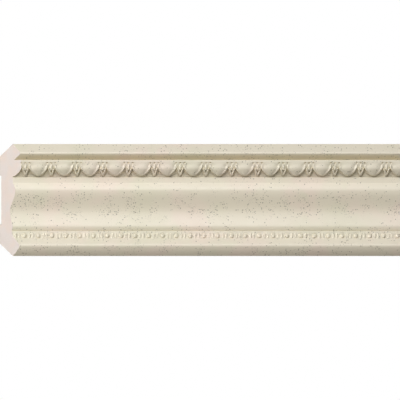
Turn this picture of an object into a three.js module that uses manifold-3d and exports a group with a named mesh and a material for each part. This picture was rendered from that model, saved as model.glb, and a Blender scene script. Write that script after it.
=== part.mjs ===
// A length of cornice moulding for the angle between a wall and a ceiling: one piece of foamed
// plastic with an egg-and-dart band above an S-curve and a bead-and-reel band below it.
// The section is drawn as the face is seen: drops run down it from its top corner, widths run along
// the piece from the long corner of its left end, and depths stand out from the plane of the back.
// The piece is then turned into place: X along its length, +Y into the wall, +Z up to the ceiling,
// with the origin at the middle of the face that bears on the wall. All sizes are in millimetres.
import * as THREE from "three";
import { mergeVertices } from "three/addons/utils/BufferGeometryUtils.js";
import Module from "manifold-3d";

// Driving dimensions
const pieceLength = 406;
const projection = 80; // reach along the wall, and the same along the ceiling
const contactDepth = 13; // depth taken by each of the two bearing faces
const leftEndBevel = 48; // degrees from square, the back left longer than the front

// Back recess between the bearing faces
const recessDepth = 1.9;
const recessMargin = 32; // from either corner of the face

// Top fillet and the soffit under its lip
const lipHeight = 9;
const lipDepth = 20.6;
const lipRounding = 1.1;
const soffitHeight = 6.95;
const grooveDepth = 14.2;
const ledgeRise = 0.35;

// Egg-and-dart band, its carving placed below the band's own top arris
const bandHeight = 17;
const bandDepth = 21.2;
const bandFillet = 3.2;
const bandBend = 8.2; // where the ground begins to fall in to the crease
const carvingSink = 1.9; // ground behind the band's face at that bend
const groundKnee = 11; // where the fall grows gentler
const kneeDepth = 15.4;
const creaseDepth = 12.4;
const crestSetback = 0.15; // highest carving behind the fillet's face
const eggMiddle = 6.1;
const eggBend = 7.2; // where an egg's front begins to fall
const eggHalfWidth = 5.7;
const eggToCrease = 1.6;
const eggCurve = 11.2; // radius of that fall
const eggToRim = 3.2;
const rimTop = 4.2;
const rimBend = 6.9;
const rimToCrease = 1.6;
const rimThickness = 2.4;
const rimRise = 4; // rim and dart above the ground below the bend
const rimToShaft = 4.1;
const shaftWidth = 2.6;
const shaftLength = 4.2;
const barbSlope = 0.6;
const barbWidth = 6.4;
const barbTaper = 4; // width half-way to the point
const tipToCrease = 1.7;
const firstEgg = 14.8;

// Plain collar and the S-curve
const collarHeight = 6.1;
const collarDepth = 13.2;
const collarRounding = 1;
const shoulderHeight = 7.5;
const shoulderBend = 4.8;
const crestDepth = 15.6;
const hollowShare = 0.6; // share of the S-curve's height that lies above its hollow
const hollowDepth = 10.5;
const hollowRun = 4.9; // how far on from the hollow the face still runs level
const rollDepth = 12.9;
const rollHeight = 5.4;
const rollBend = 2;
const lowerCreaseDepth = 11.7;
const beadLedge = 0.3;

// Bead-and-reel band
const beadBandHeight = 8.4;
const beadBandDepth = 12.5;
const beadKnee = 4.2; // where the ground turns out more steeply
const beadKneeDepth = 13.3;
const beadBandFoot = 15.7; // depth at the band's lower edge
const beadMiddle = 4.6; // below the band's own top arris
const beadRadius = 2.3;
const beadRise = 1.6;
const beadToReel = 5.3;
const reelSpacing = 3.35;
const reelHalfWidth = 1.15;
const reelHalfHeight = 2.6;
const reelRise = 1;
const firstBead = 12.35;

// Lower fillet and the underside
const lowerFilletHeight = 5.5;
const lowerArrisDepth = 19.7;
const arrisRounding = 1.7;
const arrisFall = 0.5; // depth lost over the lower half of that rounding
const undersideHeight = 11.2;
const undersideBend = 4.7; // from the lower corner, where the underside turns most
const undersideBendDepth = 17.25;

// Facets, and how the carved forms are rooted in the ground
const curveSteps = 7;
const eggSteps = 5;
const eggFacets = 6;
const rimSteps = 4;
const ridgeFacets = 2;
const beadSteps = 4;
const beadFacets = 4;
const reelSteps = 3;
const tipWidth = 0.4;
const rootedEdge = 0.15;
const footDepth = 2;
const endOverrun = 20; // length run past both ends before they are cut
const cutMargin = 1;
const cutReach = 60;

// Places worked out from those sizes
const faceHeight = projection * Math.SQRT2;
const grooveDrop = lipHeight + soffitHeight;
const bandDrop = grooveDrop + ledgeRise;
const creaseDrop = bandDrop + bandHeight;
const collarDrop = creaseDrop + collarHeight;
const crestDrop = collarDrop + shoulderHeight;
const lowerArrisDrop = faceHeight - undersideHeight;
const beadFootDrop = lowerArrisDrop - lowerFilletHeight;
const beadBandDrop = beadFootDrop - beadBandHeight;
const lowerCreaseDrop = beadBandDrop - beadLedge;
const rollDrop = lowerCreaseDrop - rollHeight;
const hollowDrop = crestDrop + hollowShare * (rollDrop - crestDrop);
const rimHalfWidth = eggHalfWidth + eggToRim;
const eggPitch = 2 * (rimHalfWidth + rimToShaft);
const beadPitch = 2 * beadToReel + reelSpacing;

const wasm = await Module();
wasm.setup();

// A closed geometry as a solid that can be joined and cut
function solid(geometry) {
  geometry.deleteAttribute("normal");
  geometry.deleteAttribute("uv");
  const merged = mergeVertices(geometry, 1e-4);
  return new wasm.Manifold(
    new wasm.Mesh({
      numProp: 3,
      vertProperties: new Float32Array(merged.attributes.position.array),
      triVerts: new Uint32Array(merged.index.array),
    }),
  );
}

// A solid back as a flat-shaded geometry
function geometryOf(body) {
  const mesh = body.getMesh();
  const geometry = new THREE.BufferGeometry();
  geometry.setAttribute("position", new THREE.BufferAttribute(mesh.vertProperties, 3));
  geometry.setIndex(new THREE.BufferAttribute(mesh.triVerts, 1));
  const faceted = geometry.toNonIndexed();
  faceted.computeVertexNormals();
  return faceted;
}

// Depth along straight stretches given as [drop, depth] corners
function depthAt(corners, drop) {
  const last = corners.length - 1;
  const after = corners.findIndex(([cornerDrop]) => cornerDrop > drop);
  const end = Math.min(Math.max(after < 0 ? last : after, 1), last);
  const [dropA, depthA] = corners[end - 1];
  const [dropB, depthB] = corners[end];
  return THREE.MathUtils.mapLinear(drop, dropA, dropB, depthA, depthB);
}

// Ground of the egg-and-dart band, sinking behind its fillet and then falling in to the crease
const carvedGround = [
  [bandDrop + bandFillet, bandDepth],
  [bandDrop + bandBend, bandDepth - carvingSink],
  [bandDrop + groundKnee, kneeDepth],
  [creaseDrop, creaseDepth],
];
const eggGround = (drop) => depthAt(carvedGround, drop);

// Ground of the bead-and-reel band, which turns out towards its lower edge
const beadedGround = [
  [beadBandDrop, beadBandDepth],
  [beadBandDrop + beadKnee, beadKneeDepth],
  [beadFootDrop, beadBandFoot],
];
const beadGround = (drop) => depthAt(beadedGround, drop);

// The cross-section, drawn with depth to the right and drop downwards
function section() {
  const outline = new THREE.Shape();
  const lineTo = (drop, depth) => outline.lineTo(depth, -drop);
  const curveTo = (viaDrop, viaDepth, drop, depth) =>
    outline.quadraticCurveTo(viaDepth, -viaDrop, depth, -drop);
  const sweepTo = (fromDrop, fromDepth, drop, depth) => {
    const handle = (drop - fromDrop) / 3;
    outline.bezierCurveTo(fromDepth, -fromDrop - handle, depth, -drop + handle, depth, -drop);
  };

  // upper bearing face
  outline.moveTo(0, -contactDepth);
  lineTo(0, contactDepth);

  // top fillet, its rounded lip and the soffit
  const lipSlope = (lipDepth - contactDepth) / lipHeight;
  const soffitSlope = (lipDepth - grooveDepth) / soffitHeight;
  lineTo(lipHeight - lipRounding, lipDepth - lipRounding * lipSlope);
  curveTo(lipHeight, lipDepth, lipHeight + lipRounding, lipDepth - lipRounding * soffitSlope);
  lineTo(grooveDrop, grooveDepth);

  // egg-and-dart band, down to the crease under it
  lineTo(bandDrop, bandDepth);
  carvedGround.forEach(([drop, depth]) => lineTo(drop, depth));

  // plain collar and the S-curve
  curveTo(creaseDrop, collarDepth, creaseDrop + collarRounding, collarDepth);
  lineTo(collarDrop, collarDepth);
  curveTo(collarDrop + shoulderBend, crestDepth, crestDrop, crestDepth);
  sweepTo(crestDrop, crestDepth, hollowDrop, hollowDepth);
  curveTo(hollowDrop + hollowRun, hollowDepth, rollDrop, rollDepth);
  const rollSlope = (rollDepth - hollowDepth) / (rollDrop - hollowDrop - hollowRun);
  const rollCrest = rollDepth + rollBend * rollSlope;
  curveTo(rollDrop + rollBend, rollCrest, lowerCreaseDrop, lowerCreaseDepth);

  // bead-and-reel band, lower fillet and the rounded underside
  beadedGround.forEach(([drop, depth]) => lineTo(drop, depth));
  const filletSlope = (lowerArrisDepth - beadBandFoot) / lowerFilletHeight;
  lineTo(lowerArrisDrop - arrisRounding, lowerArrisDepth - arrisRounding * filletSlope);
  curveTo(
    lowerArrisDrop,
    lowerArrisDepth,
    lowerArrisDrop + arrisRounding,
    lowerArrisDepth - arrisFall,
  );
  curveTo(faceHeight - undersideBend, undersideBendDepth, faceHeight, contactDepth);

  // lower bearing face and the recess in the back
  lineTo(faceHeight - contactDepth, 0);
  lineTo(faceHeight - recessMargin, 0);
  lineTo(faceHeight - recessMargin, recessDepth);
  lineTo(recessMargin, recessDepth);
  lineTo(recessMargin, 0);
  outline.closePath();
  return outline;
}

// The plain length, run past both ends
function plainLength() {
  const geometry = new THREE.ExtrudeGeometry(section(), {
    depth: pieceLength + 2 * endOverrun,
    bevelEnabled: false,
    curveSegments: curveSteps,
  });
  geometry.rotateY(-Math.PI / 2);
  geometry.translate(pieceLength + endOverrun, 0, 0);
  return solid(geometry);
}

// A carved form: cross-sections strung along a line. Each station has its place, the unit vector
// across it, its half width, and the depths of its crest and of its edges.
function carvedForm(stations, facets) {
  const positions = [];
  const triangles = [];
  const ringSize = facets + 3;
  for (const { x, drop, across, half, crest, edge } of stations) {
    const put = (share, depth) =>
      positions.push(x + across.x * half * share, -drop + across.y * half * share, depth);
    for (let i = 0; i <= facets; i++) {
      const angle = Math.PI * (i / facets - 0.5);
      put(Math.sin(angle), edge + (crest - edge) * Math.cos(angle));
    }
    put(1, edge - footDepth);
    put(-1, edge - footDepth);
  }
  for (let s = 0; s < stations.length - 1; s++) {
    for (let i = 0; i < ringSize; i++) {
      const here = s * ringSize;
      const next = here + ringSize;
      const j = (i + 1) % ringSize;
      triangles.push(here + i, next + i, here + j);
      triangles.push(here + j, next + i, next + j);
    }
  }
  const end = (stations.length - 1) * ringSize;
  for (let i = 1; i < ringSize - 1; i++) {
    triangles.push(0, i, i + 1);
    triangles.push(end, end + i + 1, end + i);
  }
  const geometry = new THREE.BufferGeometry();
  geometry.setAttribute("position", new THREE.Float32BufferAttribute(positions, 3));
  geometry.setIndex(triangles);
  return solid(geometry);
}

const level = new THREE.Vector2(1, 0);

// Crest of the rims and darts: full at the band's face, then a steady rise above the ground
function rimCrest(drop) {
  return Math.min(bandDepth - crestSetback, eggGround(drop) + rimRise);
}

// One egg: flush with the band's fillet at its top, falling in towards the crease
function egg(centre) {
  const middle = bandDrop + eggMiddle;
  const bottom = creaseDrop - eggToCrease;
  const stations = [];
  const place = (drop, half) => {
    const past = Math.max(drop - bandDrop - eggBend, 0);
    const fall = eggCurve - Math.sqrt(Math.max(eggCurve ** 2 - past ** 2, 0));
    const crest = bandDepth - crestSetback - fall;
    const edge = Math.min(eggGround(drop), crest) - rootedEdge;
    stations.push({ x: centre, drop, across: level, half, crest, edge });
  };
  place(bandDrop + bandFillet, eggHalfWidth);
  for (let i = 0; i < eggSteps; i++) {
    const angle = (Math.PI / 2) * (i / eggSteps);
    place(middle + (bottom - middle) * Math.sin(angle), eggHalfWidth * Math.cos(angle));
  }
  place(bottom, tipWidth / 2);
  return carvedForm(stations, eggFacets);
}

// The U-shaped rim round an egg
function rim(centre) {
  const bend = bandDrop + rimBend;
  const bottom = creaseDrop - rimToCrease;
  const curve = new THREE.CubicBezierCurve(
    new THREE.Vector2(-rimHalfWidth, bend),
    new THREE.Vector2(-rimHalfWidth, bend + rimThickness),
    new THREE.Vector2(-rimHalfWidth / 3, bottom),
    new THREE.Vector2(0, bottom),
  );
  const half = [new THREE.Vector2(-rimHalfWidth, bandDrop + rimTop), ...curve.getPoints(rimSteps)];
  const mirrored = half.slice(0, -1).reverse();
  const line = [...half, ...mirrored.map((point) => new THREE.Vector2(-point.x, point.y))];
  const stations = line.map((point, i) => {
    const before = line[Math.max(i - 1, 0)];
    const after = line[Math.min(i + 1, line.length - 1)];
    const run = after.clone().sub(before).normalize();
    return {
      x: centre + point.x,
      drop: point.y,
      across: new THREE.Vector2(run.y, run.x),
      half: rimThickness / 2,
      crest: rimCrest(point.y),
      edge: eggGround(point.y) - rootedEdge,
    };
  });
  return carvedForm(stations, ridgeFacets);
}

// A dart between two rims: a straight shaft that opens into barbs and closes to a point
function dart(centre) {
  const shaftEnd = bandDrop + rimTop + shaftLength;
  const tip = creaseDrop - tipToCrease;
  const outline = [
    [bandDrop + rimTop, shaftWidth],
    [shaftEnd, shaftWidth],
    [shaftEnd + barbSlope, barbWidth],
    [(shaftEnd + barbSlope + tip) / 2, barbTaper],
    [tip, tipWidth],
  ];
  const stations = outline.map(([drop, width]) => ({
    x: centre,
    drop,
    across: level,
    half: width / 2,
    crest: rimCrest(drop),
    edge: eggGround(drop) - rootedEdge,
  }));
  return carvedForm(stations, ridgeFacets);
}

// A low dome on the bead band's ground, round for a bead and narrow for a reel
function dome(centre, halfWidth, halfHeight, rise, steps, facets) {
  const middle = beadBandDrop + beadMiddle;
  const stations = [];
  for (let i = 0; i <= steps; i++) {
    const angle = Math.PI * (i / steps - 0.5);
    const drop = middle + halfHeight * Math.sin(angle);
    const share = Math.max(Math.cos(angle), tipWidth / 2 / halfWidth);
    const ground = beadGround(drop);
    stations.push({
      x: centre,
      drop,
      across: level,
      half: halfWidth * share,
      crest: ground + rise * share,
      edge: ground - rootedEdge,
    });
  }
  return carvedForm(stations, facets);
}

const bead = (centre) => dome(centre, beadRadius, beadRadius, beadRise, beadSteps, beadFacets);
const reel = (centre) =>
  dome(centre, reelHalfWidth, reelHalfHeight, reelRise, reelSteps, ridgeFacets);

// Copies of a group of forms along the piece, to just past its right end
function repeated(first, pitch, make) {
  const bodies = [];
  for (let x = first; x < pieceLength + pitch; x += pitch) {
    bodies.push(...make(x));
  }
  return bodies;
}

// What is kept of the run-on length: cut square on the right and bevelled on the left
function endCuts() {
  const slant = Math.tan(THREE.MathUtils.degToRad(leftEndBevel));
  const plan = new THREE.Shape([
    new THREE.Vector2(-cutMargin * slant, -cutMargin),
    new THREE.Vector2(pieceLength, -cutMargin),
    new THREE.Vector2(pieceLength, cutReach),
    new THREE.Vector2(cutReach * slant, cutReach),
  ]);
  const geometry = new THREE.ExtrudeGeometry(plan, {
    depth: faceHeight + 2 * cutMargin,
    bevelEnabled: false,
  });
  geometry.rotateX(Math.PI / 2);
  geometry.translate(0, cutMargin, 0);
  return solid(geometry);
}

const carving = [
  ...repeated(firstEgg, eggPitch, (x) => [egg(x), rim(x), dart(x + eggPitch / 2)]),
  ...repeated(firstBead, beadPitch, (x) => [
    bead(x),
    reel(x + beadToReel),
    reel(x + beadToReel + reelSpacing),
  ]),
];
const carved = carving.reduce((whole, form) => whole.add(form), plainLength());
const cornice = new THREE.Mesh(
  geometryOf(carved.intersect(endCuts())),
  new THREE.MeshStandardMaterial({ color: 0xded4c2, roughness: 0.5, metalness: 0 }),
);
cornice.name = "cornice_moulding";

// Turned so that the upper bearing face meets the ceiling and the lower one the wall
cornice.rotation.x = (3 * Math.PI) / 4;
const wallFaceCentre = new THREE.Vector3(
  pieceLength / 2,
  contactDepth / 2 - faceHeight,
  contactDepth / 2,
);
cornice.position.copy(wallFaceCentre.applyEuler(cornice.rotation).negate());

const group = new THREE.Group();
group.add(cornice);

export default group;
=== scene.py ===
import math

import bpy
import numpy as np
from mathutils import Matrix, Vector


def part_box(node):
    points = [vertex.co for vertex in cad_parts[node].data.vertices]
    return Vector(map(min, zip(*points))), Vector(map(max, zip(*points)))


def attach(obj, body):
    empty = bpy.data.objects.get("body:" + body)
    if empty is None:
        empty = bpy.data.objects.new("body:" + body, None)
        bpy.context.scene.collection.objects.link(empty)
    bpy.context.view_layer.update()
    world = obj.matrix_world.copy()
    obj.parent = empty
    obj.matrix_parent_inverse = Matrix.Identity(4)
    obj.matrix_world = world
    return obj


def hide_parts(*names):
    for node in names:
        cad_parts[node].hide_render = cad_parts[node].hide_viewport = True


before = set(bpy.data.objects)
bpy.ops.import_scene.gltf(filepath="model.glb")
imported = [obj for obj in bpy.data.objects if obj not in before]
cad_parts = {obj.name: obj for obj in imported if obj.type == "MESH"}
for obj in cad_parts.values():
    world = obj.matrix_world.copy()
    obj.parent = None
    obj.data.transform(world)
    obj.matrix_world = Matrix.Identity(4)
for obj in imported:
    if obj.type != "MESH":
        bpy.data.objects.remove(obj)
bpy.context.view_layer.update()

# The moulding: one length of cornice, made of foamed polystyrene. It is extruded, embossed by a roller
# with two carved bands, painted on its face and cut to length with one end bevelled and one square.
# Its two 45 degree bearing faces are glued to the wall and the ceiling.

# It is drawn as a section that runs along the piece. Drops run down the face from its top corner and
# depths stand out from the back, both in mm.
MM = 0.001
low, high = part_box("cornice_moulding")
LENGTH = (high.x - low.x) / MM
FACE_HEIGHT = (high.z - low.z) / MM * math.sqrt(2)
CONTACT_DEPTH = FACE_HEIGHT - high.z / MM * math.sqrt(2)
END_BEVEL = 48
END_SLANT = math.tan(math.radians(END_BEVEL))

LIP_DROP, LIP_DEPTH = 9.4, 20.3
LIP_START, LIP_END = (-2.0, -1.05), (1.3, -0.6)
LIP_UPPER_PULL, LIP_LOWER_PULL = (-0.8, -0.05), (0.7, 0.05)
GROOVE_DROP, GROOVE_DEPTH = 15.95, 14.2
BAND_DROP, BAND_DEPTH = 16.3, 21.2
BAND_MARGIN, BAND_ROUNDING = 1.5, 0.35
CREASE_DROP, CREASE_DEPTH = 33.3, 12.4
COLLAR_DROP, COLLAR_DEPTH = 39.4, 13.2
COLLAR_LEAN, COLLAR_ROUNDING, SHOULDER_ROUNDING = 0.2, 0.9, 0.5
CREST_DROP, CREST_DEPTH, CREST_PULL = 46.9, 15.6, 4.8
LOWER_ARRIS_DROP, LOWER_ARRIS_DEPTH = FACE_HEIGHT - 11.2, 19.7
ARRIS_RUN, ARRIS_FALL = 1.7, 0.5
UNDERSIDE_PULL = (FACE_HEIGHT - 4.7, 17.25)
BEAD_FOOT_DROP, BEAD_FOOT_DEPTH = LOWER_ARRIS_DROP - 5.5, 15.7
BEAD_DROP, BEAD_DEPTH = BEAD_FOOT_DROP - 8.4, 12.5
BEAD_TOP_MARGIN, BEAD_FOOT_MARGIN, BEAD_ROUNDING = 0.9, 0.4, 0.3
LOWER_CREASE_DROP, LOWER_CREASE_DEPTH = BEAD_DROP - 0.3, 11.7
ROLL_DROP, ROLL_DEPTH, ROLL_PULL = LOWER_CREASE_DROP - 5.4, 12.9, 2.0
HOLLOW_SHARE, HOLLOW_DEPTH, HOLLOW_PULL = 0.6, 10.5, 4.9
HOLLOW_DROP = CREST_DROP + HOLLOW_SHARE * (ROLL_DROP - CREST_DROP)
RECESS_MARGIN, RECESS_DEPTH = 32.0, 1.9
BACK_ROUNDING, RECESS_ROUNDING = 0.4, 0.3
ROUNDING_LIMIT = 0.45
# The height of the strip that joins a plain stretch to a carved one.
SEAM = 0.08


def shifted(point, step):
    return point[0] + step[0], point[1] + step[1]


def quadratic(start, via, end, steps):
    """Points after start on the curve to end that leaves and arrives pointing at via."""
    points = []
    for i in range(1, steps + 1):
        t = i / steps
        weights = ((1 - t) ** 2, 2 * t * (1 - t), t * t)
        points.append(
            tuple(weights[0] * a + weights[1] * b + weights[2] * c for a, b, c in zip(start, via, end))
        )
    return points


def sweep(start, end, steps):
    """Points after start on an S-shaped curve that is level with the back at both ends."""
    points = []
    for i in range(1, steps + 1):
        t = i / steps
        ease = t * t * (3 - 2 * t)
        points.append((start[0] + t * (end[0] - start[0]), start[1] + ease * (end[1] - start[1])))
    return points


def rounded(corners, steps=4):
    """Corners given as (drop, depth, radius), each with a radius turned into a short curve.

    A curve takes up no more than ROUNDING_LIMIT of the stretch on either side of its corner.
    """
    points = []
    for i, (drop, depth, radius) in enumerate(corners):
        if not radius or i in (0, len(corners) - 1):
            points.append((drop, depth))
            continue
        here = Vector((drop, depth))
        before = Vector(corners[i - 1][:2]) - here
        after = Vector(corners[i + 1][:2]) - here
        start = here + before.normalized() * min(radius, before.length * ROUNDING_LIMIT)
        end = here + after.normalized() * min(radius, after.length * ROUNDING_LIMIT)
        points.append(tuple(start))
        points.extend(quadratic(tuple(start), tuple(here), tuple(end), steps))
    return points


def unrounded(points):
    return [(drop, depth, 0) for drop, depth in points]


def bead_ground(drop):
    """Depth of the bead-and-reel band's ground, which sweeps out towards its foot."""
    share = (drop - BEAD_DROP) / (BEAD_FOOT_DROP - BEAD_DROP)
    return BEAD_DEPTH + (BEAD_FOOT_DEPTH - BEAD_DEPTH) * np.maximum(share, 0) ** 2


def upper_profile():
    """From the top corner over the lip and into the groove, as far as the egg-and-dart band."""
    lip = (LIP_DROP, LIP_DEPTH)
    start, end = shifted(lip, LIP_START), shifted(lip, LIP_END)
    curve = [start, *quadratic(start, shifted(lip, LIP_UPPER_PULL), lip, steps=4)]
    curve += quadratic(lip, shifted(lip, LIP_LOWER_PULL), end, steps=4)
    band = [(BAND_DROP, BAND_DEPTH, BAND_ROUNDING), (BAND_DROP + BAND_MARGIN, BAND_DEPTH, 0)]
    return rounded(unrounded([(0.0, CONTACT_DEPTH), *curve, (GROOVE_DROP, GROOVE_DEPTH)]) + band)


def middle_profile():
    """From the crease down the collar and the S-curve, as far as the bead-and-reel band."""
    shoulder, crest = (COLLAR_DROP, COLLAR_DEPTH), (CREST_DROP, CREST_DEPTH)
    hollow, roll = (HOLLOW_DROP, HOLLOW_DEPTH), (ROLL_DROP, ROLL_DEPTH)
    swell = shifted(hollow, (HOLLOW_PULL, 0.0))
    slope = (roll[1] - swell[1]) / (roll[0] - swell[0])
    over = shifted(roll, (ROLL_PULL, ROLL_PULL * slope))
    curve = quadratic(shoulder, (COLLAR_DROP + CREST_PULL, CREST_DEPTH), crest, steps=7)
    curve += sweep(crest, hollow, steps=12)
    curve += quadratic(hollow, swell, roll, steps=9)
    curve += quadratic(roll, over, (LOWER_CREASE_DROP, LOWER_CREASE_DEPTH), steps=6)
    collar = [(CREASE_DROP + SEAM, CREASE_DEPTH, 0)]
    collar += [(CREASE_DROP + COLLAR_LEAN, COLLAR_DEPTH, COLLAR_ROUNDING)]
    collar += [(*shoulder, SHOULDER_ROUNDING)]
    last = BEAD_DROP + BEAD_TOP_MARGIN
    bead = [(BEAD_DROP, BEAD_DEPTH, BEAD_ROUNDING), (last, bead_ground(last), 0)]
    return rounded(collar + unrounded(curve) + bead)


def lower_profile():
    """From the bead-and-reel band's foot over the lower arris to the bottom corner."""
    arris = (LOWER_ARRIS_DROP, LOWER_ARRIS_DEPTH)
    slope = (LOWER_ARRIS_DEPTH - BEAD_FOOT_DEPTH) / (LOWER_ARRIS_DROP - BEAD_FOOT_DROP)
    above = shifted(arris, (-ARRIS_RUN, -ARRIS_RUN * slope))
    below = shifted(arris, (ARRIS_RUN, -ARRIS_FALL))
    curve = [above, *quadratic(above, arris, below, steps=7)]
    curve += quadratic(below, UNDERSIDE_PULL, (FACE_HEIGHT, CONTACT_DEPTH), steps=8)
    first = BEAD_FOOT_DROP - BEAD_FOOT_MARGIN
    foot = [(first, bead_ground(first), 0), (BEAD_FOOT_DROP, BEAD_FOOT_DEPTH, BEAD_ROUNDING)]
    return rounded(foot + unrounded(curve))


def back_profile():
    """From the bottom corner up the back, with its shallow recess, to the top corner."""
    recess_low, recess_high = FACE_HEIGHT - RECESS_MARGIN, RECESS_MARGIN
    corners = [
        (FACE_HEIGHT, CONTACT_DEPTH, 0),
        (FACE_HEIGHT - CONTACT_DEPTH, 0.0, BACK_ROUNDING),
        (recess_low, 0.0, RECESS_ROUNDING),
        (recess_low, RECESS_DEPTH, RECESS_ROUNDING),
        (recess_high, RECESS_DEPTH, RECESS_ROUNDING),
        (recess_high, 0.0, RECESS_ROUNDING),
        (CONTACT_DEPTH, 0.0, BACK_ROUNDING),
        (0.0, CONTACT_DEPTH, 0),
    ]
    return rounded(corners, steps=2)[1:-1]


# The egg-and-dart band: eggs in U-shaped rims, between each two rims a dart with a shaft and two wings,
# and a sunk ground that falls in to a crease. Here u runs along the piece from an egg's middle and v
# down the band, and each of the three lists gives a surface's depth at some places down the band.
EGG_PITCH, FIRST_EGG = 26.0, 14.75
BAND_HEIGHT, CARVING_TOP = CREASE_DROP - BAND_DROP, 1.6
GROUND = [(CARVING_TOP, BAND_DEPTH), (3.4, 20.85), (4.6, 20.4), (6.0, 20.0), (8.2, 19.3), (9.6, 17.4)]
GROUND += [(11.0, 15.7), (13.0, 14.0), (15.0, 12.9), (BAND_HEIGHT, CREASE_DEPTH)]
RIM_CREST = [(3.2, 19.2), (3.8, 20.3), (5.2, 20.75), (6.4, 21.1), (7.6, 21.25), (8.6, 21.1)]
RIM_CREST += [(9.6, 20.75), (11.0, 20.0), (13.0, 18.7), (14.4, 17.6), (15.6, 16.4), (16.4, 15.2)]
EGG_FRONT = [(CARVING_TOP, BAND_DEPTH), (3.8, 21.15), (7.3, 21.4), (8.8, 21.25), (9.9, 20.8)]
EGG_FRONT += [(11.3, 20.1), (12.7, 19.2), (14.0, 18.1), (15.5, 16.6), (BAND_HEIGHT, 14.8)]

EGG_MIDDLE, EGG_HALF_WIDTH, EGG_HALF_HEIGHT, EGG_FOOT = 6.1, 7.2, 7.8, 2.0
EGG_FULLNESS, EGG_FULLNESS_GAIN, EGG_FULLNESS_SPAN = 1.2, 0.6, (7.0, 11.0)
EGG_FLANK_SPAN, EGG_FILLET = (0.8, 3.2), 0.3
RIM_REACH, RIM_BEND, RIM_BOTTOM = 8.8, 6.9, 15.4
RIM_SIDE_PULL, RIM_FOOT_PULL = 2.2, 0.34
RIM_OUTER, RIM_OUTER_FALL, RIM_FULLNESS = 1.25, 2.4, 2.2
RIM_INNER, RIM_INNER_EASE, RIM_INNER_SPAN = 2.2, 0.3, (8.0, 13.0)
RIM_FALL, RIM_FALL_EASE, RIM_FALL_SPAN = 0.95, 0.35, (8.0, 12.0)
SHAFT_TOP, SHAFT_END, SHAFT_HALF, SHAFT_FALL, SHAFT_FULLNESS = 4.6, 9.3, 1.6, 2.0, 2.4
WING_TOP, WING_REACH, WING_HALF, WING_FALL, WING_FULLNESS = 9.0, 2.5, 1.15, 2.0, 3
WING_SINK, DART_TIP, DART_TIP_HALF = 0.3, 14.8, 0.3
CARVING_FILLET = 0.35
PIT_DROP, PIT_DEPTH, PIT_HALF_HEIGHT, PIT_EDGE = 2.9, 1.5, 0.55, 1.4
SHAFT_PIT_HALF, RIM_PIT_HALF = 1.1, 0.8


def interpolated(points, place):
    """The value at a place on a line through points given as (place, value)."""
    return np.interp(place, *zip(*points))


def smooth_max(a, b, blend):
    """The higher of two surfaces, with a small fillet of the given size where they meet."""
    near = np.maximum(blend - np.abs(a - b), 0) / blend
    return np.maximum(a, b) + near * near * blend / 4


def smooth_step(value, start, end):
    """A share that goes gently from 0 at start to 1 at end."""
    t = np.clip((value - start) / (end - start), 0, 1)
    return t * t * (3 - 2 * t)


def line_distance(u, v, points):
    """Distance from each (u, v) to a line of straight stretches."""
    nearest = np.full(np.broadcast(u, v).shape, np.inf)
    for (u0, v0), (u1, v1) in zip(points, points[1:]):
        du, dv = u1 - u0, v1 - v0
        share = np.clip(((u - u0) * du + (v - v0) * dv) / (du * du + dv * dv), 0, 1)
        nearest = np.minimum(nearest, np.hypot(u - u0 - share * du, v - v0 - share * dv))
    return nearest


def half_rim(steps=14):
    """The line of a rim's right half, from its top to its lowest point."""
    side, foot = (RIM_REACH, RIM_BEND), (0.0, RIM_BOTTOM)
    pulls = (side, shifted(side, (0.0, RIM_SIDE_PULL)), (RIM_REACH * RIM_FOOT_PULL, RIM_BOTTOM), foot)
    points = [(RIM_REACH, SHAFT_TOP)]
    for i in range(steps + 1):
        t = i / steps
        weights = ((1 - t) ** 3, 3 * t * (1 - t) ** 2, 3 * t * t * (1 - t), t**3)
        u = sum(weight * pull[0] for weight, pull in zip(weights, pulls))
        v = sum(weight * pull[1] for weight, pull in zip(weights, pulls))
        points.append((u, v))
    return points


HALF_RIM = half_rim()
RIM_LINE = [(-u, v) for u, v in HALF_RIM] + HALF_RIM[-2::-1]
RIM_HALF_WIDTHS = [(v, u) for u, v in HALF_RIM]
SHAFT_LINE = [(0, SHAFT_TOP), (0, SHAFT_END)]
WING_LINE = [(WING_REACH, WING_TOP), (DART_TIP_HALF, DART_TIP)]


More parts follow.
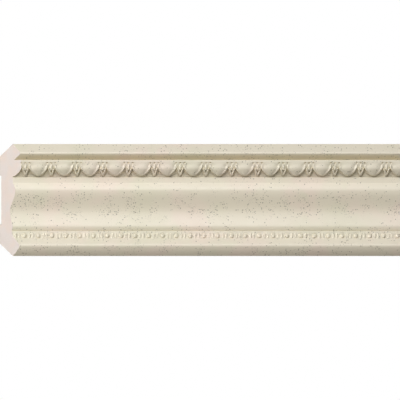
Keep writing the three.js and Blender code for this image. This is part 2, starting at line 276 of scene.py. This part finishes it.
def egg_band(x, drop):
    """Depth of the egg-and-dart band at x along the piece."""
    v = drop - BAND_DROP
    if v < CARVING_TOP:
        return np.full(x.shape, BAND_DEPTH)
    if v > BAND_HEIGHT - SEAM:
        return np.full(x.shape, CREASE_DEPTH)
    u = (x - FIRST_EGG + EGG_PITCH / 2) % EGG_PITCH - EGG_PITCH / 2
    from_dart = np.abs(np.abs(u) - EGG_PITCH / 2)
    ground = interpolated(GROUND, v) + 0 * u
    crest = interpolated(RIM_CREST, v)
    inside = np.abs(u) < interpolated(RIM_HALF_WIDTHS, v)

    flank = smooth_step(np.abs(u), *EGG_FLANK_SPAN)
    fall = RIM_FALL * flank * (1 - RIM_FALL_EASE * smooth_step(v, *RIM_FALL_SPAN))
    valley = np.where(inside, np.maximum(ground, crest - fall), ground)
    half_height = EGG_HALF_HEIGHT + EGG_FOOT * (1 - flank)
    spread = (u / EGG_HALF_WIDTH) ** 2 + (max(v - EGG_MIDDLE, 0) / half_height) ** 2
    fullness = EGG_FULLNESS + EGG_FULLNESS_GAIN * smooth_step(v, *EGG_FULLNESS_SPAN)
    egg = valley + (interpolated(EGG_FRONT, v) - valley) * (1 - spread**fullness)

    from_rim = line_distance(u, v, RIM_LINE)
    width = RIM_INNER * (1 - RIM_INNER_EASE * smooth_step(v, *RIM_INNER_SPAN))
    inner = crest - fall * smooth_step(from_rim, 0.0, width)
    outer = crest - RIM_OUTER_FALL * (from_rim / RIM_OUTER) ** RIM_FULLNESS
    rim = np.where(inside & (from_rim < width), inner, outer)

    from_shaft = line_distance(from_dart, v, SHAFT_LINE) / SHAFT_HALF
    shaft = crest - SHAFT_FALL * from_shaft**SHAFT_FULLNESS
    from_wing = line_distance(from_dart, v, WING_LINE) / WING_HALF
    wing = crest - WING_SINK - WING_FALL * from_wing**WING_FULLNESS

    depth = smooth_max(ground, egg, EGG_FILLET)
    for form in (rim, shaft, wing):
        depth = smooth_max(depth, form, CARVING_FILLET)
    for middle, half in ((0, SHAFT_PIT_HALF), (EGG_PITCH / 2 - RIM_REACH, RIM_PIT_HALF)):
        pit = ((from_dart - middle) / half) ** 4 + ((v - PIT_DROP) / PIT_HALF_HEIGHT) ** 2
        depth = depth - PIT_DEPTH * np.exp(-pit * PIT_EDGE)
    return depth


# The bead-and-reel band: round beads, each in a shallow dish, with two thin reels between them, on a
# ground that leans out towards its lower edge. Here u runs along the piece from a bead's middle.
BEAD_PITCH, FIRST_BEAD = 13.95, 12.35
BEAD_MIDDLE = BEAD_DROP + 4.6
BEAD_RADIUS, BEAD_RISE, BEAD_FILLET = 2.3, 1.6, 0.2
DISH_MARGIN, DISH_WIDTH, DISH_DEPTH = 0.3, 0.5, 0.25
REEL_PLACE, REEL_HALF_WIDTH, REEL_HALF_HEIGHT, REEL_RISE = 5.3, 1.15, 2.6, 1.0


def bead_band(x, drop):
    """Depth of the bead-and-reel band at x along the piece."""
    u = (x - FIRST_BEAD + BEAD_PITCH / 2) % BEAD_PITCH - BEAD_PITCH / 2
    v = drop - BEAD_MIDDLE
    ground = bead_ground(drop) + 0 * u
    radius = np.hypot(u, v)
    dish = DISH_DEPTH * np.exp(-(((radius - BEAD_RADIUS - DISH_MARGIN) / DISH_WIDTH) ** 2))
    bead = ground + BEAD_RISE * (1 - (radius / BEAD_RADIUS) ** 3)
    spread = ((np.abs(u) - REEL_PLACE) / REEL_HALF_WIDTH) ** 2 + (v / REEL_HALF_HEIGHT) ** 4
    reel = ground + REEL_RISE * (1 - spread)
    return smooth_max(smooth_max(ground - dish, bead, BEAD_FILLET), reel, BEAD_FILLET)


# The mesh: plain stretches have few columns and the two bands many. Every row starts on the bevelled
# left end and stops at the square right one.
COLUMN_STEP, COARSE = 0.37, 24
END_ZONE, END_COLUMNS = 24.0, 48
EGG_ROWS, BEAD_ROWS = 45, 24
SHARP_ANGLE = 38
PAINT, FOAM = 0, 1

fine_count = COARSE * math.ceil((LENGTH - END_ZONE) / COLUMN_STEP / COARSE)
fine_x = np.linspace(END_ZONE, LENGTH, fine_count + 1)


def placed(x, drop, depth):
    """A point of the section in the row frame, in metres."""
    y = (drop - depth - FACE_HEIGHT + CONTACT_DEPTH) / math.sqrt(2)
    z = (FACE_HEIGHT - drop - depth) / math.sqrt(2)
    return np.stack([(x - LENGTH / 2) * MM, y * MM, z * MM], axis=-1)


def plain_rows(profile):
    """Rows across a plain stretch, on every COARSE-th column: drop, x, depth and whether fine."""
    made = []
    for drop, depth in profile:
        x = np.concatenate([[depth * END_SLANT], fine_x[::COARSE]])
        made.append((drop, x, np.full(x.shape, depth), False))
    return made


def band_rows(drops, surface):
    """Rows across a carved band, on all columns.

    Each starts where its surface meets the bevelled end, which is found by halving.
    """
    made = []
    for drop in drops:
        near, far = 0.0, END_ZONE
        for _ in range(40):
            middle = (near + far) / 2
            if middle < END_SLANT * float(surface(np.array([middle]), drop)[0]):
                near = middle
            else:
                far = middle
        x = np.concatenate([np.linspace(far, END_ZONE, END_COLUMNS + 1)[:-1], fine_x])
        depth = surface(x, drop)
        depth[0] = far / END_SLANT
        made.append((drop, x, depth, True))
    return made


def strip(here, there):
    """Faces between two rows of points on the same columns."""
    return [(here[j], there[j], there[j + 1], here[j + 1]) for j in range(len(here) - 1)]


def stitched(plain, fine):
    """Triangles between a plain row of points and the fine row below it, on the stops they share."""
    stops = [0, END_COLUMNS, *range(END_COLUMNS + COARSE, len(fine), COARSE)]
    triangles = []
    for j, (first, last) in enumerate(zip(stops, stops[1:])):
        run = fine[first : last + 1]
        half = len(run) // 2
        triangles += [(plain[j], run[half], plain[j + 1])]
        triangles += [(plain[j], a, b) for a, b in zip(run[:half], run[1:])]
        triangles += [(plain[j + 1], a, b) for a, b in zip(run[half:], run[half + 1 :])]
    return triangles


upper, between, lower = upper_profile(), middle_profile(), lower_profile()
egg_drops = np.linspace(upper[-1][0] + SEAM, CREASE_DROP, EGG_ROWS)
bead_drops = np.linspace(between[-1][0] + SEAM, lower[0][0] - SEAM, BEAD_ROWS)
rows = plain_rows(upper) + band_rows(egg_drops, egg_band)
rows += plain_rows(between) + band_rows(bead_drops, bead_band) + plain_rows(lower)
painted_rows = len(rows)
rows += plain_rows(back_profile())

points = []
row_points = []
for drop, x, depth, _ in rows:
    row_points.append(range(len(points), len(points) + len(x)))
    points.extend(placed(x, drop, depth).tolist())

faces = []
face_coats = []
for r, here in enumerate(row_points):
    n = (r + 1) % len(rows)
    there = row_points[n]
    here_fine, there_fine = rows[r][3], rows[n][3]
    if here_fine == there_fine:
        joined = strip(here, there)
    elif there_fine:
        joined = stitched(here, there)
    else:
        joined = [triangle[::-1] for triangle in stitched(there, here)]
    faces += joined
    face_coats += [PAINT if 0 < n < painted_rows else FOAM] * len(joined)
faces.append(tuple(row[0] for row in row_points)[::-1])
faces.append(tuple(row[-1] for row in row_points))
face_coats += [FOAM, FOAM]

mesh = bpy.data.meshes.new("cornice_moulding_fine")
mesh.from_pydata(points, [], faces)
mesh.validate()
mesh.update()
mesh.shade_smooth()
mesh.set_sharp_from_angle(angle=math.radians(SHARP_ANGLE))
mesh.polygons.foreach_set("material_index", face_coats)
moulding = bpy.data.objects.new("moulding", mesh)
bpy.context.scene.collection.objects.link(moulding)

# How thickly the flecks lie, from 0 to 1 by drop: they gather in the soffit, in the hollow of the
# S-curve and on the underside.
SPRINKLE = [(0, 0.3), (10, 0.5), (17, 0.35), (36, 0.2), (48, 0.2), (54, 0.75), (70, 0.8), (78, 0.25)]
SPRINKLE += [(86, 0.4), (100, 0.35), (104, 0.8), (FACE_HEIGHT, 0.8)]
sprinkled = [np.full(len(x), interpolated(SPRINKLE, drop)) for drop, x, _, _ in rows]
sprinkle = mesh.attributes.new("sprinkle", "FLOAT", "POINT")
sprinkle.data.foreach_set("value", np.concatenate(sprinkled))


def linear(red, green, blue):
    """An sRGB colour, 0 to 255, as Blender's linear one."""

    def one(value):
        share = value / 255
        return share / 12.92 if share <= 0.04045 else ((share + 0.055) / 1.055) ** 2.4

    return (one(red), one(green), one(blue), 1.0)


# The finishes' colours, then their specks. A kind of speck has its cells along a metre, its size as a
# share of a cell, the share of cells that hold one and the strength of its colour. The clumps and the
# sprinkle thin the paint's flecks out, and the small ones' share and strength go by the larger ones'.
CREAM, ROSY_CREAM, GREEN_CREAM = linear(226, 218, 199), linear(229, 216, 200), linear(223, 217, 196)
# The next colour is painted shade: the darker, warmer tint that ambient occlusion puts into hollows.
HOLLOW_PAINTED_SHADE = linear(198, 184, 146)
BROWN_FLECK, GREY_FLECK, PALE_FLECK = linear(112, 96, 76), linear(98, 100, 86), linear(244, 236, 218)
WARM_FOAM, COOL_FOAM, FOAM_PORE = linear(226, 212, 203), linear(223, 213, 207), linear(190, 172, 160)
FLECK_CELLS, FLECK_SIZE, FLECK_SHARE, FLECK_STRENGTH = 620.0, 0.47, 1.2, 0.75
SMALL_FLECK_CELLS, SMALL_FLECK_SIZE, SMALL_FLECK_SHARE, SMALL_FLECK_STRENGTH = 1050.0, 0.4, 0.8, 0.6
PALE_FLECK_CELLS, PALE_FLECK_SIZE, PALE_FLECK_SHARE, PALE_FLECK_STRENGTH = 800.0, 0.36, 0.6, 0.6
PORE_CELLS, PORE_SIZE, PORE_SHARE, PORE_STRENGTH = 1500.0, 0.4, 0.35, 0.22
PALE_FLECKS_FEWEST, PALE_FLECKS_MOST = 0.06, 0.3
SMALLEST_SPECK, SPECK_CORE = 0.45, 0.5
SPECK_WOBBLES, SPECK_WOBBLE = 1900.0, 0.5 * MM
# How far the ambient occlusion looks, and how strongly it paints shade into hollows.
PAINTED_SHADE_REACH, PAINTED_SHADE_STRENGTH, PAINTED_SHADE_DEEP, PAINTED_SHADE_END = 7 * MM, 0.38, 0.45, 0.92
GRAIN_HEIGHT, BROAD_GRAIN = 0.1 * MM, 1.6
SMOOTHEST_PAINT, ROUGHEST_PAINT, FOAM_ROUGHNESS = 0.38, 0.5, 0.8
VECTOR, FLOAT = "NodeSocketVector", "NodeSocketFloat"


def node(tree, kind, **values):
    """A shader node with some of its settings and sockets set."""
    made = tree.nodes.new(kind)
    for name, value in values.items():
        if hasattr(made, name):
            setattr(made, name, value)
        else:
            made.inputs[name.replace("_", " ")].default_value = value
    return made


def give(tree, socket, value):
    """Links a socket to an output, or sets it to a plain value."""
    if isinstance(value, bpy.types.NodeSocket):
        tree.links.new(value, socket)
    else:
        socket.default_value = value


def mixed(tree, share, first, second):
    """A colour mixed from two, with the given share of the second."""
    made = node(tree, "ShaderNodeMix", data_type="RGBA")
    for index, value in ((0, share), (6, first), (7, second)):
        give(tree, made.inputs[index], value)
    return made.outputs[2]


def reckoned(tree, operation, first, second):
    """A number worked out from two."""
    made = node(tree, "ShaderNodeMath", operation=operation)
    give(tree, made.inputs[0], first)
    give(tree, made.inputs[1], second)
    return made.outputs[0]


def times(tree, first, second):
    return reckoned(tree, "MULTIPLY", first, second)


def ranged(tree, value, start, end, low_value=0.0, high_value=1.0, kind="SMOOTHSTEP"):
    """A number carried from one range to another and held there."""
    made = node(tree, "ShaderNodeMapRange", interpolation_type=kind)
    given = {"Value": value, "From Min": start, "From Max": end, "To Min": low_value, "To Max": high_value}
    for name, part in given.items():
        give(tree, made.inputs[name], part)
    return made.outputs["Result"]


def noise(tree, place, scale, detail, shift):
    """Cloudy noise about the middle of 0 to 1, with other clouds for each shift."""
    made = node(tree, "ShaderNodeTexNoise", noise_dimensions="4D")
    for name, value in (("Vector", place), ("Scale", scale), ("Detail", detail), ("W", shift)):
        give(tree, made.inputs[name], value)
    return made.outputs[0]


def group_of(name, inputs, outputs):
    """A node group with named sockets; returns it with its input and output nodes."""
    made = bpy.data.node_groups.new(name, "ShaderNodeTree")
    for socket_name, kind in inputs:
        made.interface.new_socket(socket_name, in_out="INPUT", socket_type=kind)
    for socket_name, kind in outputs:
        made.interface.new_socket(socket_name, in_out="OUTPUT", socket_type=kind)
    return made, made.nodes.new("NodeGroupInput"), made.nodes.new("NodeGroupOutput")


def patch_group():
    """Soft patches: 0 where cloudy noise is under Start, and 1 where it is over End."""
    inputs = [(name, FLOAT) for name in ("Scale", "Detail", "Shift", "Start", "End")]
    group, fed, out = group_of("patches", [("Vector", VECTOR), *inputs], [("Share", FLOAT)])
    clouds = noise(group, *(fed.outputs[name] for name in ("Vector", "Scale", "Detail", "Shift")))
    share = ranged(group, clouds, fed.outputs["Start"], fed.outputs["End"])
    group.links.new(share, out.inputs["Share"])
    return group


def speck_group():
    """Small uneven spots, one in each cell that is picked, up to the given share of the cells."""
    inputs = [("Vector", VECTOR), ("Scale", FLOAT), ("Share", FLOAT), ("Size", FLOAT)]
    group, fed, out = group_of("specks", inputs, [("Mask", FLOAT)])
    wobbles = node(group, "ShaderNodeTexNoise", Scale=SPECK_WOBBLES, Detail=1.0)
    group.links.new(fed.outputs["Vector"], wobbles.inputs["Vector"])
    bent = node(group, "ShaderNodeVectorMath", operation="MULTIPLY_ADD")
    group.links.new(wobbles.outputs["Color"], bent.inputs[0])
    bent.inputs[1].default_value = (SPECK_WOBBLE, SPECK_WOBBLE, SPECK_WOBBLE)
    group.links.new(fed.outputs["Vector"], bent.inputs[2])
    cells = node(group, "ShaderNodeTexVoronoi", feature="F1")
    group.links.new(bent.outputs[0], cells.inputs["Vector"])
    group.links.new(fed.outputs["Scale"], cells.inputs["Scale"])
    chance = node(group, "ShaderNodeSeparateColor")
    group.links.new(cells.outputs["Color"], chance.inputs[0])
    size = ranged(group, chance.outputs[1], 0.0, 1.0, low_value=SMALLEST_SPECK)
    radius = times(group, size, fed.outputs["Size"])
    spot = ranged(group, cells.outputs["Distance"], radius, times(group, radius, SPECK_CORE))
    picked = reckoned(group, "LESS_THAN", chance.outputs[0], fed.outputs["Share"])
    group.links.new(times(group, spot, picked), out.inputs["Mask"])
    return group


def grain_group():
    """A grained surface: fine noise over broader noise, as a normal."""
    inputs = [("Vector", VECTOR), ("Fine Scale", FLOAT), ("Broad Scale", FLOAT), ("Strength", FLOAT)]
    group, fed, out = group_of("grain", inputs, [("Normal", VECTOR)])
    fine = node(group, "ShaderNodeTexNoise", Detail=3.0, Roughness=0.6)
    broad = node(group, "ShaderNodeTexNoise", Detail=2.0)
    for texture, scale in ((fine, "Fine Scale"), (broad, "Broad Scale")):
        group.links.new(fed.outputs["Vector"], texture.inputs["Vector"])
        group.links.new(fed.outputs[scale], texture.inputs["Scale"])
    height = reckoned(group, "ADD", fine.outputs[0], times(group, broad.outputs[0], BROAD_GRAIN))
    bump = node(group, "ShaderNodeBump", Distance=GRAIN_HEIGHT)
    group.links.new(fed.outputs["Strength"], bump.inputs["Strength"])
    group.links.new(height, bump.inputs["Height"])
    group.links.new(bump.outputs[0], out.inputs["Normal"])
    return group


patches, specks, grain = patch_group(), speck_group(), grain_group()


def used(tree, group, **values):
    """The output of a group placed in a material, with its sockets given."""
    made = tree.nodes.new("ShaderNodeGroup")
    made.node_tree = group
    for name, value in values.items():
        give(tree, made.inputs[name.replace("_", " ")], value)
    return made.outputs[0]


def new_finish(name):
    """A material, with its tree, its shader and the place on the object."""
    finish = bpy.data.materials.new(name)
    finish.use_nodes = True
    tree = finish.node_tree
    place = node(tree, "ShaderNodeTexCoord").outputs["Object"]
    return finish, tree, tree.nodes["Principled BSDF"], place


def sand_finish():
    """Satin cream paint in slightly different tints, with painted shade that makes hollows darker and
    warmer, and dark and pale flecks.
    """
    finish, tree, shader, place = new_finish("sand_finish")
    rosy = used(tree, patches, Vector=place, Scale=24.0, Detail=2.0, Shift=6.5, Start=0.47, End=0.62)
    green = used(tree, patches, Vector=place, Scale=26.0, Detail=2.0, Shift=11.0, Start=0.5, End=0.66)
    colour = mixed(tree, green, mixed(tree, rosy, CREAM, ROSY_CREAM), GREEN_CREAM)
    # Painted shade: ambient occlusion turns the colour darker and warmer in creases, hollows and under the
    # carving.
    open_air = node(tree, "ShaderNodeAmbientOcclusion", samples=6, Distance=PAINTED_SHADE_REACH).outputs["AO"]
    painted_shade = ranged(tree, open_air, PAINTED_SHADE_DEEP, PAINTED_SHADE_END, low_value=PAINTED_SHADE_STRENGTH, high_value=0.0)
    colour = mixed(tree, painted_shade, colour, HOLLOW_PAINTED_SHADE)

    clumps = used(tree, patches, Vector=place, Scale=85.0, Detail=3.0, Shift=9.0, Start=0.41, End=0.63)
    thickness = node(tree, "ShaderNodeAttribute", attribute_name="sprinkle").outputs["Fac"]
    share = times(tree, clumps, times(tree, thickness, FLECK_SHARE))
    large = used(tree, specks, Vector=place, Scale=FLECK_CELLS, Share=share, Size=FLECK_SIZE)
    share = times(tree, share, SMALL_FLECK_SHARE)
    small = used(tree, specks, Vector=place, Scale=SMALL_FLECK_CELLS, Share=share, Size=SMALL_FLECK_SIZE)
    dark = reckoned(tree, "MAXIMUM", large, times(tree, small, SMALL_FLECK_STRENGTH))
    tints = noise(tree, place, scale=240.0, detail=1.0, shift=0.0)
    fleck = mixed(tree, tints, BROWN_FLECK, GREY_FLECK)
    colour = mixed(tree, times(tree, dark, FLECK_STRENGTH), colour, fleck)
    share = ranged(tree, clumps, 0.0, 1.0, PALE_FLECKS_FEWEST, PALE_FLECKS_MOST)
    share = times(tree, share, PALE_FLECK_SHARE)
    pale = used(tree, specks, Vector=place, Scale=PALE_FLECK_CELLS, Share=share, Size=PALE_FLECK_SIZE)
    colour = mixed(tree, times(tree, pale, PALE_FLECK_STRENGTH), colour, PALE_FLECK)
    tree.links.new(colour, shader.inputs["Base Color"])

    clouds = noise(tree, place, scale=180.0, detail=2.0, shift=7.0)
    roughness = ranged(tree, clouds, 0.3, 0.7, SMOOTHEST_PAINT, ROUGHEST_PAINT, kind="LINEAR")
    tree.links.new(roughness, shader.inputs["Roughness"])
    sprayed = used(tree, grain, Vector=place, Fine_Scale=2600.0, Broad_Scale=420.0, Strength=0.22)
    tree.links.new(sprayed, shader.inputs["Normal"])
    return finish


def raw_foam():
    """Bare foam on the ends and the back, with fine pores and a sawn grain."""
    finish, tree, shader, place = new_finish("raw_foam")
    cool = used(tree, patches, Vector=place, Scale=60.0, Detail=2.0, Shift=1.0, Start=0.42, End=0.6)
    colour = mixed(tree, cool, WARM_FOAM, COOL_FOAM)
    pores = used(tree, specks, Vector=place, Scale=PORE_CELLS, Share=PORE_SHARE, Size=PORE_SIZE)
    colour = mixed(tree, times(tree, pores, PORE_STRENGTH), colour, FOAM_PORE)
    tree.links.new(colour, shader.inputs["Base Color"])
    shader.inputs["Roughness"].default_value = FOAM_ROUGHNESS
    sawn = used(tree, grain, Vector=place, Fine_Scale=2200.0, Broad_Scale=900.0, Strength=0.5)
    tree.links.new(sawn, shader.inputs["Normal"])
    return finish


mesh.materials.append(sand_finish())
mesh.materials.append(raw_foam())
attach(moulding, "root")
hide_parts("cornice_moulding")

# The floor: a plain pale painted floor, a room's height below the moulding. It looks pale to the
# camera and throws back little light, so that the moulding's underside stays in shade.
FLOOR_DROP, FLOOR_HALF = 2.4, 40.0
PALE_FLOOR, SHADED_FLOOR = linear(238, 237, 233), linear(235, 234, 229)
FLOOR_BOUNCE, FLOOR_ROUGHNESS = 0.06, 0.7


def pale_floor():
    """Rolled floor paint in two near tints, bright for the camera alone."""
    finish, tree, shader, place = new_finish("pale_floor")
    cloudy = used(tree, patches, Vector=place, Scale=3.0, Detail=2.0, Shift=0.0, Start=0.35, End=0.65)
    tree.links.new(mixed(tree, cloudy, PALE_FLOOR, SHADED_FLOOR), shader.inputs["Emission Color"])
    seen = node(tree, "ShaderNodeLightPath").outputs["Is Camera Ray"]
    tree.links.new(seen, shader.inputs["Emission Strength"])
    shader.inputs["Base Color"].default_value = (FLOOR_BOUNCE, FLOOR_BOUNCE, FLOOR_BOUNCE, 1)
    shader.inputs["Roughness"].default_value = FLOOR_ROUGHNESS
    rolled = used(tree, grain, Vector=place, Fine_Scale=300.0, Broad_Scale=60.0, Strength=0.15)
    tree.links.new(rolled, shader.inputs["Normal"])
    return finish


floor_mesh = bpy.data.meshes.new("floor")
floor_corners = [(-1, -1), (1, -1), (1, 1), (-1, 1)]
floor_points = [(x * FLOOR_HALF, y * FLOOR_HALF, -FLOOR_DROP) for x, y in floor_corners]
floor_mesh.from_pydata(floor_points, [], [(0, 1, 2, 3)])
floor_mesh.materials.append(pale_floor())
floor = bpy.data.objects.new("floor", floor_mesh)
bpy.context.scene.collection.objects.link(floor)

# The camera: it looks straight on to the middle of the face from a few metres away, and the face is as
# high a share of the picture as in the photograph.
VIEW_DISTANCE = 3.0
SENSOR_WIDTH = 36
FRAME_PIXELS, FACE_PIXELS = 400, 112
AIM_RIGHT = 0.6 * MM

outward = Vector((0, -1, -1)).normalized()
up_face = Vector((0, -1, 1)).normalized()
along = Vector((1, 0, 0))
face_centre = Vector(placed(np.float64(LENGTH / 2), FACE_HEIGHT / 2, CONTACT_DEPTH).tolist())
frame_width = FACE_HEIGHT * MM * FRAME_PIXELS / FACE_PIXELS

camera_data = bpy.data.cameras.new("camera")
camera_data.sensor_width = SENSOR_WIDTH
camera_data.lens = SENSOR_WIDTH * VIEW_DISTANCE / frame_width
camera = bpy.data.objects.new("camera", camera_data)
bpy.context.scene.collection.objects.link(camera)
spot = face_centre + along * AIM_RIGHT + outward * VIEW_DISTANCE
camera.matrix_world = Matrix(
    (
        (along.x, up_face.x, outward.x, spot.x),
        (along.y, up_face.y, outward.y, spot.y),
        (along.z, up_face.z, outward.z, spot.z),
        (0, 0, 0, 1),
    )
)
bpy.context.scene.camera = camera

# The lights: soft square lamps round the face's middle, brightest from above, with warmer ones from
# below for the underside and three behind for the back and the ends.
LIGHT_DISTANCE = 2.0
WHITE, WARM, WARMER = (1, 1, 1), (1, 0.95, 0.86), (1, 0.93, 0.8)


def soft_light(name, up, right, size, power, colour=WHITE):
    """A lamp turned up and to the right of the face's normal by two angles in degrees."""
    data = bpy.data.lights.new(name, "AREA")
    data.energy = power
    data.size = size
    data.color = colour
    light = bpy.data.objects.new(name, data)
    bpy.context.scene.collection.objects.link(light)
    up, right = math.radians(up), math.radians(right)
    across = outward * math.cos(up) + up_face * math.sin(up)
    towards = across * math.cos(right) + along * math.sin(right)
    light.location = face_centre + towards * LIGHT_DISTANCE
    light.rotation_euler = towards.to_track_quat("Z", "Y").to_euler()


soft_light("key", 30, -4, size=1.0, power=27.2)
soft_light("upper_left", 46, -36, size=0.6, power=10)
soft_light("upper_right", 45, 30, size=0.7, power=2)
soft_light("side", 12, -72, size=0.5, power=7)
soft_light("lower_left", -52, -42, size=0.7, power=10, colour=WARM)
soft_light("lower_right", -50, 60, size=0.7, power=2.5, colour=WARMER)
soft_light("back", 180, 0, size=1.2, power=26)
soft_light("back_right", 180, 52, size=0.8, power=16)
soft_light("back_left", 180, -52, size=0.8, power=10)

# The surround: plain white to the camera, as in the photograph, and a faint even light on the piece.
SURROUND_LIGHT, SURROUND_SEEN = 0.06, 1.0

world = bpy.data.worlds.new("studio")
bpy.context.scene.world = world
world.use_nodes = True
sky = world.node_tree
background = sky.nodes["Background"]
strength = node(sky, "ShaderNodeMix", data_type="FLOAT", A=SURROUND_LIGHT, B=SURROUND_SEEN)
sky.links.new(node(sky, "ShaderNodeLightPath").outputs["Is Camera Ray"], strength.inputs["Factor"])
sky.links.new(strength.outputs["Result"], background.inputs["Strength"])
background.inputs["Color"].default_value = (*WHITE, 1)
bpy.context.scene.view_settings.view_transform = "Standard"
